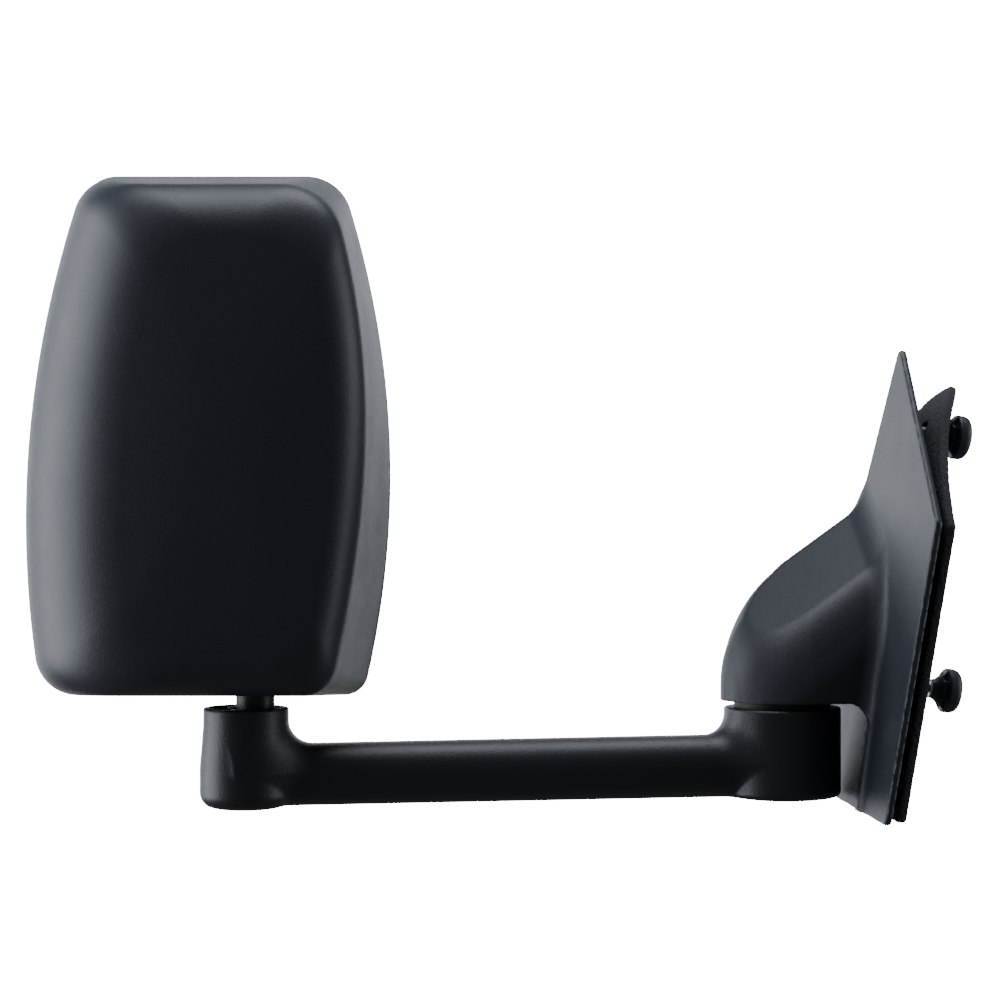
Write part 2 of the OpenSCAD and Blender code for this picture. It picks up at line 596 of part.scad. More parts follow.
insert_len = 12;
module on_stud(side, at) { door_frame() translate([at, 0, side * stud_spacing / 2]) rotate([0, 90, 0]) children(); }
module knob() difference() {
    rotate_extrude() polygon(concat([[0, 0], [5, 0], [5, 1.2], [6, 3.2], [8, 5.6], [10.4, 7.4]],
        arc([knob_r - 1.2, 9], 1.2, -60, 0, 3), arc([knob_r - 3, knob_len - 3.2], 3, 0, 70, 5),
        [[0, knob_len]]));
    translate([0, 0, -1]) cylinder(r = 4.02, h = insert_len + 1.5);
    for (a = [0 : 45 : 315]) rotate([0, 0, a]) translate([11, 0, 1.6]) cylinder(r = 3.2, h = 5.6);
}
module insert() tube(4, thread_r + run_gap, 0, insert_len);
module knob_washer() tube(5.2, stud_r + 0.2, -0.8, 0);
module washer_upper() color(steel) on_stud(1, knob_upper_at) knob_washer();
module knob_upper() color(plastic) on_stud(1, knob_upper_at) knob();
module insert_upper() color(brass) on_stud(1, knob_upper_at) insert();
module washer_lower() color(steel) on_stud(-1, knob_lower_at) knob_washer();
module knob_lower() color(plastic) on_stud(-1, knob_lower_at) knob();
module insert_lower() color(brass) on_stud(-1, knob_lower_at) insert();

base_housing();
base_bracket();
bracket_screws();
gasket();
stud_upper();
stud_lower();
pivot_spindle();
spindle_screws();
base_friction_ring();
thrust_washer();
fold_spring();
spring_cup();
spindle_nut();
arm_casting();
hub_bush();
arm_friction_ring();
hub_cap();
post_bush_upper();
post_bush_lower();
elbow_cap();
elbow_cap_screws();
elbow_plug();
head_shell();
head_bezel();
head_frame();
frame_screws();
post_bracket();
post_bracket_screws();
swivel_post();
flange_screws();
post_washer();
disc_springs();
post_nut();
main_pan_pin();
spot_pan_pin();
main_cross();
main_tilt_pin();
main_carrier();
main_pad();
main_mirror();
spot_cross();
spot_tilt_pin();
spot_carrier();
spot_pad();
spot_mirror();
washer_upper();
knob_upper();
insert_upper();
washer_lower();
knob_lower();
insert_lower();
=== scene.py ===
# Manual towing mirror for a van or pick-up door. Shapes are worked out in millimetres and placed in metres in
# the part's own frame: +X inboard towards the door, +Y rearward, the way the glass faces, +Z up.
import json
import math

import bpy
import numpy as np
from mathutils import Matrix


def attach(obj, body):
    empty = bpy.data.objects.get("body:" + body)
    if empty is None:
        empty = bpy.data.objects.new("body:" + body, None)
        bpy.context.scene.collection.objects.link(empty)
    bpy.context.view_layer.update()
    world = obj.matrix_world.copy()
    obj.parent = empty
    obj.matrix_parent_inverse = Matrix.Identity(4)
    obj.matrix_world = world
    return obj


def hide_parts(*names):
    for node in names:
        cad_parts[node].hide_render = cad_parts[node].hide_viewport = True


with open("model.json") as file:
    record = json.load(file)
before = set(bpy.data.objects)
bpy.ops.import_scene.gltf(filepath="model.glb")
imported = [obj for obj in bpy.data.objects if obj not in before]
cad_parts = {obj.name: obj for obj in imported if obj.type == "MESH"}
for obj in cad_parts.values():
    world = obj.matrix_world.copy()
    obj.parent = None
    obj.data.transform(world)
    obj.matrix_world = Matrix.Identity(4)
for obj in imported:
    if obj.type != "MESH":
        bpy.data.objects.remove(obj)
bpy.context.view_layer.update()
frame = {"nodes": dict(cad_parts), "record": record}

# Camera: level with the middle of the head, ten degrees outboard of square to it, a long lens from about
# 1.3 metres in front.
camera_data = bpy.data.cameras.new("front_camera")
camera_data.lens = 86.4
camera = bpy.data.objects.new("front_camera", camera_data)
camera.location = (-0.439, -1.242, 0.0306)
camera.rotation_euler = (math.radians(90), 0, math.radians(-10))
bpy.context.scene.collection.objects.link(camera)
bpy.context.scene.camera = camera

# Moulded plastic of the head, shroud and knobs: satin, blue-black, with the fine even grain of a spark-eroded
# mould and a faint cloudiness in its gloss. The grain is a group, because the arm's powder coat uses it too.
MM = 0.001


def add_socket(group, name, kind, way, value=None):
    """One named socket on a shader group."""
    socket = group.interface.new_socket(name=name, in_out=way, socket_type="NodeSocket" + kind)
    if value is not None:
        socket.default_value = value


def grain_group():
    """Fine grain from two noises on Object coordinates: gives a bumped normal, a roughness that wanders
    around its middle value, and a colour that is mottled between two tones."""
    group = bpy.data.node_groups.new("surface_grain", "ShaderNodeTree")
    add_socket(group, "Grain per metre", "Float", "INPUT", 1400)
    add_socket(group, "Depth", "Float", "INPUT", 0.1)
    add_socket(group, "Roughness", "Float", "INPUT", 0.45)
    add_socket(group, "Dark", "Color", "INPUT", (0.01, 0.012, 0.016, 1))
    add_socket(group, "Light", "Color", "INPUT", (0.014, 0.017, 0.023, 1))
    add_socket(group, "Color", "Color", "OUTPUT")
    add_socket(group, "Roughness", "Float", "OUTPUT")
    add_socket(group, "Normal", "Vector", "OUTPUT")
    nodes, links = group.nodes, group.links
    inward, outward = nodes.new("NodeGroupInput"), nodes.new("NodeGroupOutput")
    place = nodes.new("ShaderNodeTexCoord")
    fine, broad = nodes.new("ShaderNodeTexNoise"), nodes.new("ShaderNodeTexNoise")
    fine.inputs["Detail"].default_value = 3
    broad.inputs["Scale"].default_value = 38
    broad.inputs["Detail"].default_value = 4
    bump, spread = nodes.new("ShaderNodeBump"), nodes.new("ShaderNodeMapRange")
    bump.inputs["Distance"].default_value = 0.0004
    spread.inputs["To Min"].default_value = -0.05
    spread.inputs["To Max"].default_value = 0.05
    total, mix = nodes.new("ShaderNodeMath"), nodes.new("ShaderNodeMix")
    mix.data_type = "RGBA"
    blend = nodes.new("ShaderNodeMath")
    blend.operation = "MULTIPLY"
    blend.inputs[1].default_value = 0.9
    join = [(place, "Object", fine, "Vector"), (place, "Object", broad, "Vector"),
            (inward, "Grain per metre", fine, "Scale"), (fine, "Fac", bump, "Height"),
            (inward, "Depth", bump, "Strength"), (broad, "Fac", spread, "Value"), (fine, "Fac", blend, 0)]
    for start, out, end, into in join:
        links.new(start.outputs[out], end.inputs[into])
    links.new(inward.outputs["Roughness"], total.inputs[0])
    links.new(spread.outputs["Result"], total.inputs[1])
    links.new(blend.outputs[0], mix.inputs[0])
    links.new(inward.outputs["Dark"], mix.inputs[6])
    links.new(inward.outputs["Light"], mix.inputs[7])
    links.new(mix.outputs[2], outward.inputs["Color"])
    links.new(total.outputs[0], outward.inputs["Roughness"])
    links.new(bump.outputs["Normal"], outward.inputs["Normal"])
    return group


surface_grain = grain_group()


def finish_of(name, dark, light, rough, grain, depth, metallic=0.0, coat=0.0, specular=0.5):
    """A Principled material whose colour, roughness and normal come from the grain group."""
    material = bpy.data.materials.new(name)
    material.use_nodes = True
    tree = material.node_tree
    shader = tree.nodes["Principled BSDF"]
    shader.inputs["Metallic"].default_value = metallic
    shader.inputs["Coat Weight"].default_value = coat
    shader.inputs["Specular IOR Level"].default_value = specular
    group = tree.nodes.new("ShaderNodeGroup")
    group.node_tree = surface_grain
    group.inputs["Grain per metre"].default_value = grain
    group.inputs["Depth"].default_value = depth
    group.inputs["Roughness"].default_value = rough
    group.inputs["Dark"].default_value = (*dark, 1)
    group.inputs["Light"].default_value = (*light, 1)
    tree.links.new(group.outputs["Color"], shader.inputs["Base Color"])
    tree.links.new(group.outputs["Roughness"], shader.inputs["Roughness"])
    tree.links.new(group.outputs["Normal"], shader.inputs["Normal"])
    return material


moulded_plastic = finish_of("moulded_plastic", (0.017, 0.021, 0.030), (0.024, 0.029, 0.040), 0.42, 1500, 0.30)


# Head shell: one moulding 2.6 mm thick, a tall barrel with a broad outboard shoulder, a tight inboard edge
# and a rounded lip at the rim. Its skin is a set of rings that start at the rim, pass round the shoulders and
# close over the back; the inner skin is the same rings moved in.
HEAD_YAW = math.radians(-10)
POST_X, ARM_Y = -347.5, 10.0
RIM_W, BACK_W = 38.0, -50.0
HEAD_TOP, HEAD_BOTTOM = 204.1, -73.9
SHELL_T = 2.6
CROWN = 4.0
LIP = 0.9
INBOARD_BOW, INBOARD_WIDEST = 0.00105, 43.6
OUTBOARD_BOW, OUTBOARD_WIDEST = 0.00096, 19.6


def head_place(points):
    """From the head's own (u, w, z) in mm, u inboard and w towards the glass, to the part's frame in
    metres."""
    u, w, z = points[..., 0], points[..., 1], points[..., 2]
    x = u * math.cos(HEAD_YAW) - w * math.sin(HEAD_YAW) + POST_X
    y = u * math.sin(HEAD_YAW) + w * math.cos(HEAD_YAW) + ARM_Y
    return np.stack([x, y, z], -1) * MM


def right_edge(z):
    """Inboard rim: a shallow parabola, widest a little above the middle of the head."""
    return 68.7 - INBOARD_BOW * (z - INBOARD_WIDEST) ** 2


def left_edge(z):
    """Outboard rim: a shallow parabola, widest at the middle of the head."""
    return -124.3 + OUTBOARD_BOW * (z - OUTBOARD_WIDEST) ** 2


def head_loop(inset, radii):
    """Closed loop of (u, z), anticlockwise from the bottom inboard corner: four edges moved in by inset
    (left, right, top, bottom), joined by arcs of the four radii."""
    low, high = HEAD_BOTTOM + inset[3], HEAD_TOP - inset[2]
    centre_z = np.array([low + radii[0], high - radii[1], high - radii[2], low + radii[3]])
    bow = np.repeat([INBOARD_BOW, OUTBOARD_BOW], 2)
    lean = np.arctan(2 * bow * (centre_z - np.repeat([INBOARD_WIDEST, OUTBOARD_WIDEST], 2)))
    touch = centre_z + radii * np.sin(lean)
    centre_u = np.concatenate([right_edge(touch[:2]) - inset[1] - radii[:2] * np.cos(lean[:2]),
                               left_edge(touch[2:]) + inset[0] + radii[2:] * np.cos(lean[2:])])
    turns = [(-np.pi / 2, lean[0]), (lean[1], np.pi / 2),
             (np.pi / 2, np.pi - lean[2]), (np.pi - lean[3], 1.5 * np.pi)]
    arcs = []
    for k, (start, end) in enumerate(turns):
        angle = np.linspace(start, end, 24)
        around = np.stack([np.cos(angle), np.sin(angle)], 1)
        arcs.append(np.array([centre_u[k], centre_z[k]]) + radii[k] * around)
    part = np.linspace(0, 1, 42)[1:-1]
    rise, fall = touch[0] + (touch[1] - touch[0]) * part, touch[2] + (touch[3] - touch[2]) * part
    top = arcs[1][-1] + (arcs[2][0] - arcs[1][-1]) * part[:, None]
    bottom = arcs[3][-1] + (arcs[0][0] - arcs[3][-1]) * part[:, None]
    right = np.stack([right_edge(rise) - inset[1], rise], 1)
    left = np.stack([left_edge(fall) + inset[0], fall], 1)
    return np.concatenate([arcs[0], right, arcs[1], top, arcs[2], left, arcs[3], bottom])


def wall_inset(w, back, draft, start, reach):
    """How far a wall has come in at depth w: its draft, then an elliptical shoulder that ends in the back."""
    fall = 0.9935 * np.clip((start - w) / (start - back), 0, 1)
    return (RIM_W - w) * math.tan(math.radians(draft)) + reach * (1 - math.sqrt(1 - fall**2))


def head_ring(w, thick):
    """The skin's ring at depth w, moved in by thick; the inboard side leans in further towards the bottom."""
    back = BACK_W + thick + CROWN
    inset = [thick + wall_inset(w, back, *wall) for wall in
             ((3, 24, 66), (8, -28, 19), (11, -22, 27), (4, -26, 22))]
    depth = (RIM_W - w) / (RIM_W - back)
    loop = head_loop(inset, np.array([13.0, 25.0, 19.0, 20.0]) - 0.8 * thick + 10 * depth)
    ring = np.stack([loop[:, 0], np.full(len(loop), w), loop[:, 1]], 1)
    inboard = np.clip((ring[:, 0] + 20) / 80, 0, 1) ** 2
    ring[:, 0] += inboard * depth * 0.075 * (ring[:, 2] - 60)
    return ring


def head_skin(thick):
    """All rings of one skin, rim first, evened along their length so that wall, shoulder and back flow."""
    back = BACK_W + thick + CROWN
    depths = RIM_W + (back - RIM_W) * np.sin(np.linspace(0, np.pi / 2, 60))
    rings = np.array([head_ring(w, thick) for w in depths])
    middle = rings[-1].mean(axis=0)
    closing = np.linspace(1, 0, 30)[1:-1, None, None]
    crown = np.array([0, 1, 0]) * CROWN * (1 - closing**2)
    rings = np.concatenate([rings, middle + (rings[-1] - middle) * closing - crown])
    weights = np.exp(-np.linspace(-2, 2, 9) ** 2)
    held = np.concatenate([np.repeat(rings[:1], 4, axis=0), rings, np.repeat(rings[-1:], 4, axis=0)])
    evened = sum(weight * held[k:k + len(rings)] for k, weight in enumerate(weights / weights.sum()))
    share = np.clip((np.arange(len(rings)) - 5) / 8, 0, 1)[:, None, None]
    return rings + (evened - rings) * share


def add_piece(name, points, faces, body, slot, material, *stands_for, crease=40):
    """Mesh piece from points in metres in the part's frame and faces of three or four corners, turned outward
    by the sign of its volume. It rides its body and stands for the CAD nodes named."""
    corner = [(f[0], f[k], f[k + 1]) for f in faces for k in range(1, len(f) - 1)]
    a, b, c = (points[np.array(corner)[:, k]] for k in range(3))
    if np.einsum("ij,ij->i", a, np.cross(b, c)).sum() < 0:
        faces = [f[::-1] for f in faces]
    mesh = bpy.data.meshes.new(name)
    mesh.from_pydata(points.tolist(), [], faces)
    mesh.validate()
    mesh.shade_smooth()
    mesh.set_sharp_from_angle(angle=math.radians(crease))
    mesh.materials.append(material)
    piece = bpy.data.objects.new(name, mesh)
    bpy.context.scene.collection.objects.link(piece)
    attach(piece, body)
    if stands_for:
        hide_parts(*stands_for)
    return piece


def ring_faces(count, size, looped=False):
    """Quads between rings of the same size. Open ends close on two more points, last in the points list."""
    faces = []
    for i in range(count if looped else count - 1):
        for j in range(size):
            k, row, after = (j + 1) % size, i * size, (i + 1) % count * size
            faces.append([row + j, row + k, after + k, after + j])
    if not looped:
        last = (count - 1) * size
        for j in range(size):
            k = (j + 1) % size
            faces.append([count * size, k, j])
            faces.append([count * size + 1, last + j, last + k])
    return faces


outer_skin = head_skin(0)
inner_skin = head_skin(SHELL_T)
across_lip = inner_skin[0] - outer_skin[0]
lip = [outer_skin[0] + across_lip * (1 - math.cos(a)) / 2 + [0, LIP * math.sin(a) - LIP, 0]
       for a in np.linspace(0, math.pi, 9)]
outer_skin[0, :, 1] -= LIP
inner_skin[0, :, 1] -= LIP
head_rings = np.concatenate([outer_skin[:0:-1], lip, inner_skin[1:]])
ends = np.array([outer_skin[-1].mean(axis=0), inner_skin[-1].mean(axis=0)])
head_points = head_place(np.concatenate([head_rings.reshape(-1, 3), ends]))
add_piece("head_shell_skin", head_points, ring_faces(len(head_rings), head_rings.shape[1]),
          "head", "plastic", moulded_plastic, "head_shell")


# Arm casting: one aluminium casting, powder coated: the hub drum under the shroud, the slightly tapering arm
# and the elbow that carries the post, run together with cast fillets. Castings and mouldings with fillets are
# made as distance fields, meshed by net_solid.
HUB_X, ELBOW_X, ARM_Z = -63.3, -352.3, -112.6
PROBE = 0.02


def net_solid(field, low, high, step):
    """Points and quads of the surface where field is zero (it is negative inside): one point for each
    grid cell that the surface crosses, at the mean of the crossings on the cell's edges, then pulled onto the
    surface along the gradient, and one quad round each crossed grid edge."""
    axes = [np.arange(low[k] - 1.5 * step, high[k] + 2.5 * step, step) for k in range(3)]
    grid = np.stack(np.meshgrid(*axes, indexing="ij"), -1)
    value = field(grid)
    inside = value < 0
    cells = tuple(n - 1 for n in inside.shape)
    total, count = np.zeros(cells + (3,)), np.zeros(cells)
    crossed = []
    for a in range(3):
        b, c = (a + 1) % 3, (a + 2) % 3
        turned_value = np.moveaxis(value, (a, b, c), (0, 1, 2))
        first, second = turned_value[:-1], turned_value[1:]
        crossing = (first < 0) != (second < 0)
        share = np.where(crossing, first / np.where(crossing, first - second, 1), 0)
        point = np.moveaxis(grid, (a, b, c), (0, 1, 2))[:-1].copy()
        point[..., a] += share * step
        sums, counts = np.moveaxis(total, (a, b, c), (0, 1, 2)), np.moveaxis(count, (a, b, c), (0, 1, 2))
        for p in (0, 1):
            for q in (0, 1):
                part = (slice(None), slice(p, p + sums.shape[1]), slice(q, q + sums.shape[2]))
                sums += np.where(crossing[part][..., None], point[part], 0)
                counts += crossing[part]
        place = np.argwhere(crossing)
        corners = []
        for p, q in ((-1, -1), (0, -1), (0, 0), (-1, 0)):
            cell = np.zeros_like(place)
            cell[:, a], cell[:, b], cell[:, c] = place[:, 0], place[:, 1] + p, place[:, 2] + q
            corners.append(cell)
        facing = np.moveaxis(inside, (a, b, c), (0, 1, 2))[:-1][crossing]
        crossed.append((corners, facing))
    used = count > 0
    index = np.full(cells, -1)
    index[used] = np.arange(used.sum())
    points = total[used] / count[used][:, None]
    for _ in range(2):
        rises = [field(points + d) - field(points - d) for d in np.eye(3) * PROBE]
        slope = np.stack(rises, -1) / (2 * PROBE)
        move = field(points) / np.maximum((slope**2).sum(-1), 0.1)
        points = points - slope * np.clip(move, -step, step)[:, None]
    quads = []
    for corners, facing in crossed:
        four = np.stack([index[tuple(cell.T)] for cell in corners], -1)
        four[~facing] = four[~facing][:, ::-1]
        quads.append(four)
    return points, np.concatenate(quads).tolist()


def join_round(a, b, r):
    """Union of two fields with a fillet of radius r in the corner between them."""
    return np.maximum(r, np.minimum(a, b)) - np.hypot(np.maximum(r - a, 0), np.maximum(r - b, 0))


def cut_round(a, b, r):
    """Field a outside field b, with an edge of radius r."""
    return np.minimum(-r, np.maximum(a, -b)) + np.hypot(np.maximum(r + a, 0), np.maximum(r - b, 0))


def rounded(across, along, edge):
    """Distance from a form given by its distances across and along, both moved in by the edge's radius."""
    outside = np.hypot(np.maximum(across, 0), np.maximum(along, 0))
    return outside + np.minimum(np.maximum(across, along), 0) - edge


def drum(points, x, y, radius, low, high, low_edge, high_edge):
    """Upright drum of a radius, which may vary with height, between two heights. The rounding runs evenly
    from the low edge's radius to the high edge's."""
    edge = np.interp(points[..., 2], [low, high], [low_edge, high_edge])
    across = np.hypot(points[..., 0] - x, points[..., 1] - y) - radius + edge
    along = np.abs(points[..., 2] - (low + high) / 2) - (high - low) / 2 + edge
    return rounded(across, along, edge)


def arm_field(p):
    """Hub, arm and elbow joined by fillets that fade out towards the underside, less the pockets."""
    x, y, z = p[..., 0], p[..., 1] - ARM_Y, p[..., 2]
    hub = drum(p, HUB_X, ARM_Y, 31.5, -129.7, -81.1, 4, 1.2)
    elbow = drum(p, ELBOW_X, ARM_Y, np.interp(z, [-108, -88, -77], [24, 22.3, 22.1]), -129.9, -77.2, 10, 1.0)
    along = (x - ELBOW_X) / (HUB_X - ELBOW_X)
    arm = np.maximum(np.hypot(y, z - ARM_Z) - 16.3 - 0.9 * along, np.maximum(ELBOW_X - x, x - HUB_X))
    fillet = 1.5 + 10.5 * np.clip((z + 127) / 17, 0, 1) ** 2
    body = join_round(join_round(elbow, arm, fillet), hub, fillet)
    body = cut_round(body, z + 129.9, 2.5)
    pockets = ((HUB_X, 11.02, -140, -70), (HUB_X, 24, -140, -95), (ELBOW_X, 18.4, -81.4, -70),
               (POST_X, 13.05, -86, -70), (POST_X, 9.52, -109, -70), (POST_X, 12.6, -140, -108))
    for x0, r, low, high in pockets:
        body = cut_round(body, drum(p, x0, ARM_Y, r, low, high, 0.3, 0.3), 0.6)
    return body


powder_coat = finish_of("powder_coat", (0.011, 0.013, 0.018), (0.017, 0.020, 0.027), 0.40, 900, 0.35)
arm_points, arm_quads = net_solid(arm_field, (-377, -22, -130), (-31, 42, -77), 1.15)
add_piece("arm_and_elbow", arm_points * MM, arm_quads, "arm", "casting", powder_coat, "arm_casting")


# Sail plate housing: one moulding of the plate that leans with the door, the hollow shroud over the hub and
# the cheek that runs down from the shroud's front flank to the plate's bottom edge.
LEAN = math.radians(8)
STUD_Z = 68.5
PLATE_OUT, PLATE_IN = -11.8, -8.1
SHROUD_FOOT = -77.5
SAIL = np.array([[14, 115.5], [-80.5, 17.9], [-65, -139.8], [60, -132.5], [58, -40], [43, 33]])


def to_door(p):
    """From the part's frame to the door's own frame, whose x runs square to the leaning door."""
    x = p[..., 0] * math.cos(LEAN) - p[..., 2] * math.sin(LEAN)
    return x, p[..., 1], p[..., 0] * math.sin(LEAN) + p[..., 2] * math.cos(LEAN)


def edge_lines(corners):
    """Starts and unit directions of a convex polygon's edges, in its own order."""
    along = np.roll(corners, -1, axis=0) - corners
    return corners, along / np.linalg.norm(along, axis=1)[:, None]


def polygon_field(y, z, corners, round_by):
    """Distance from a convex anticlockwise outline whose corners are rounded: how far a place is outside the
    outline moved in by the rounding, less the rounding."""
    start, along = edge_lines(corners)
    moved = start + round_by * np.stack([-along[:, 1], along[:, 0]], 1)
    before, turn = np.roll(moved, 1, axis=0), np.roll(along, 1, axis=0)
    cross = turn[:, 0] * along[:, 1] - turn[:, 1] * along[:, 0]
    gap = moved - before
    corner = before + turn * ((gap[:, 0] * along[:, 1] - gap[:, 1] * along[:, 0]) / cross)[:, None]
    deepest, nearest = np.full(y.shape, -1e9), np.full(y.shape, 1e9)
    for k in range(len(corners)):
        side = corner[(k + 1) % len(corners)] - corner[k]
        py, pz = y - corner[k, 0], z - corner[k, 1]
        share = np.clip((py * side[0] + pz * side[1]) / (side**2).sum(), 0, 1)
        nearest = np.minimum(nearest, np.hypot(py - share * side[0], pz - share * side[1]))
        deepest = np.maximum(deepest, py * along[k, 1] - pz * along[k, 0])
    return np.where(deepest > 0, nearest, -nearest) - round_by


def slab_field(outline, x, low, high, edge):
    """An outline's field made into a sheet between two depths, with rounded edges."""
    along = np.abs(x - (low + high) / 2) - (high - low) / 2 + edge
    return rounded(outline + edge, along, edge)


def join_limits(a, b, r):
    """Intersection of two fields with an edge of radius r."""
    return np.minimum(-r, np.maximum(a, b)) + np.hypot(np.maximum(r + a, 0), np.maximum(r + b, 0))


def shroud_field(p, wall):
    """Upright body with a round nose, under a roof that falls outboard and to the front. The edge between
    them is tight at the rear and broad at the front and the nose."""
    x, y, z = p[..., 0], p[..., 1], p[..., 2]
    side = np.hypot(np.minimum(x + 64.6, 0), y - 9.5) - 32.2 + wall
    roof = (z - 12 - 0.7 * x - 0.6 * y) / math.hypot(1, 0.7, 0.6) + wall
    edge = 6 + 18 * np.clip((20 - y) / 40, 0, 1) + 12 * np.clip((-55 - x) / 35, 0, 1)
    return join_limits(side, roof, edge)


def housing_field(p):
    """Plate, shroud and the fillet between them, kept within the sail outline, with a boss for the upper
    stud, less the recess under the shroud, the hollow, the pivot's hole and the upper stud's hole."""
    x, y, z = p[..., 0], p[..., 1], p[..., 2]
    door_x, door_y, door_z = to_door(p)
    proud = PLATE_OUT / math.cos(LEAN) + z * math.tan(LEAN) - x
    outline = polygon_field(door_y, door_z, SAIL, 4)
    plate = slab_field(outline, door_x, PLATE_OUT, PLATE_IN, 1.2)
    shroud = np.maximum(np.maximum(shroud_field(p, 0), -proud - 2), outline + 0.3)
    body = join_round(plate, shroud, 9)
    body = np.maximum(np.maximum(body, outline), door_x - PLATE_IN)
    cheek = 2.2 + 12 * (1 - np.sqrt(1 - np.clip((z + 89.5) / 12, 0, 1) ** 2))
    behind = np.minimum(cheek - proud, np.maximum(-proud, -20.7 - y))
    recess = np.maximum(z - SHROUD_FOOT, behind)
    body = cut_round(body, recess, 0.5)
    around = np.hypot(door_y, door_z - STUD_Z)
    body = np.minimum(body, np.maximum(around - 9, np.abs(door_x - PLATE_IN - 0.75) - 2.75))
    hollow = np.maximum(np.maximum(shroud_field(p, 3.5), -(z + 74)), np.maximum(z - 16, -proud - 9))
    body = cut_round(body, hollow, 0.5)
    body = cut_round(body, drum(p, HUB_X, ARM_Y, 13, -90, -70, 0.3, 0.3), 0.6)
    pocket = np.maximum(around - 6.05, np.abs(door_x - PLATE_IN + 0.45) - 1.3)
    return np.maximum(body, -np.minimum(pocket, np.maximum(around - 3.42, -door_x + PLATE_IN - 1)))


house_points, house_quads = net_solid(housing_field, (-101, -82, -141), (10, 62, 118), 1.15)
add_piece("sail_plate_and_shroud", house_points * MM, house_quads, "base", "plastic", moulded_plastic,
          "base_housing")


# Gasket: 4.8 mm foam, die-cut to nearly the plate's outline; its free top corner curls towards the door and
# thins at the tip.
FOAM_T = 4.8
CURL, CURL_FROM, CURL_LENGTH = 23, 18, 78
FOAM = np.array([[14, 118], [-78.5, 17.2], [-63.5, -137.5], [58, -130.5], [56, -40], [41, 33]])


def gasket_field(p):
    """Sheet that follows CURL (0.72 t^2 + 0.28 t^8), t the share of the free length, cut to the outline,
    which runs out faster near the tip, as the sheet thins, less the two stud holes."""
    door_x, door_y, door_z = to_door(p)
    t = np.clip((door_z - CURL_FROM) / CURL_LENGTH, 0, 1.25)
    curl = CURL * (0.72 * t**2 + 0.28 * t**8)
    steep = np.sqrt(1 + (CURL / CURL_LENGTH * (1.44 * t + 2.24 * t**7)) ** 2)
    over = (door_x - curl) / steep
    outline = polygon_field(door_y, door_z + 18 * t**12 + over * np.clip(t, 0, 1) ** 4, FOAM, 3) + 0.05
    sheet = slab_field(outline, over, -FOAM_T + 2.2 * np.clip(t, 0, 1) ** 6, 0, 0.9)
    holes = np.minimum(np.hypot(door_y, door_z - STUD_Z), np.hypot(door_y, door_z + STUD_Z)) - 6
    return cut_round(sheet, holes, 0.4)


def foam_material():
    """Charcoal foam: open cells as dents from a cell texture, mottled between two greys."""
    material = finish_of("foam", (0.016, 0.017, 0.020), (0.055, 0.058, 0.066), 0.85, 500, 0.5, specular=0.25)
    tree = material.node_tree
    place, cells = tree.nodes.new("ShaderNodeTexCoord"), tree.nodes.new("ShaderNodeTexVoronoi")
    dents = tree.nodes.new("ShaderNodeBump")
    cells.inputs["Scale"].default_value = 620
    dents.inputs["Distance"].default_value = 0.0006
    dents.inputs["Strength"].default_value = 0.8
    shader = tree.nodes["Principled BSDF"]
    before = shader.inputs["Normal"].links[0].from_socket
    tree.links.new(place.outputs["Object"], cells.inputs["Vector"])
    tree.links.new(cells.outputs["Distance"], dents.inputs["Height"])
    tree.links.new(before, dents.inputs["Normal"])
    tree.links.new(dents.outputs["Normal"], shader.inputs["Normal"])
    return material


foam = foam_material()
gasket_points, gasket_quads = net_solid(gasket_field, (-27, -80, -138), (39, 60, 100), 1.2)
gasket_piece = add_piece("gasket_sheet", gasket_points * MM, gasket_quads, "base", "foam", foam, "gasket")


# Studs, washers and hand knobs: plated steel studs with a rolled metric thread, and moulded knobs with eight
# flutes in the neck of the flare. All are turned shapes on the studs' axes.
def round_profile(corners):
    """(radius, height) points of a profile whose corners (radius, height, rounding) become short arcs."""
    points = []
    for k, (r, h, rounding) in enumerate(corners):
        here = np.array([r, h], float)
        if rounding == 0 or k in (0, len(corners) - 1):
            points.append(here)
            continue
        before, after = np.array(corners[k - 1][:2]) - here, np.array(corners[k + 1][:2]) - here
        start = here + before / np.linalg.norm(before) * rounding
        end = here + after / np.linalg.norm(after) * rounding
        for t in np.linspace(0, 1, 7):
            points.append((1 - t) ** 2 * start + 2 * t * (1 - t) * here + t**2 * end)
    return np.array(points)


def turned(profile, around, step, swell=None):
    """Points in mm and faces of a profile turned about z, with a row at least every step. swell takes the
    angle, height and radius, and gives the radius there."""
    rows = []
    for a, b in zip(profile[:-1], profile[1:]):
        n = max(1, int(np.ceil(np.linalg.norm(b - a) / step)))
        rows += [a + (b - a) * i / n for i in range(n)]
    rows = np.array(rows + [profile[-1]])
    inner = rows[1:-1]
    angle = np.linspace(0, 2 * math.pi, around, endpoint=False)
    angle, height = np.meshgrid(angle, inner[:, 1])
    radius = np.repeat(inner[:, :1], around, axis=1)
    if swell:
        radius = swell(angle, height, radius)
    grid = np.stack([radius * np.cos(angle), radius * np.sin(angle), height], -1).reshape(-1, 3)
    ends = np.array([[0, 0, rows[0, 1]], [0, 0, rows[-1, 1]]])
    return np.concatenate([grid, ends]), ring_faces(len(inner), around)


def on_stud(points, side, at):
    """From a turned shape's own frame to the part's, on the stud above (1) or below (-1), at a distance from
    the gasket's door face."""
    x, y, z = points[:, 2] + at, points[:, 1], side * STUD_Z - points[:, 0]
    inboard, up = x * math.cos(LEAN) + z * math.sin(LEAN), z * math.cos(LEAN) - x * math.sin(LEAN)
    return np.stack([inboard, y, up], -1) * MM


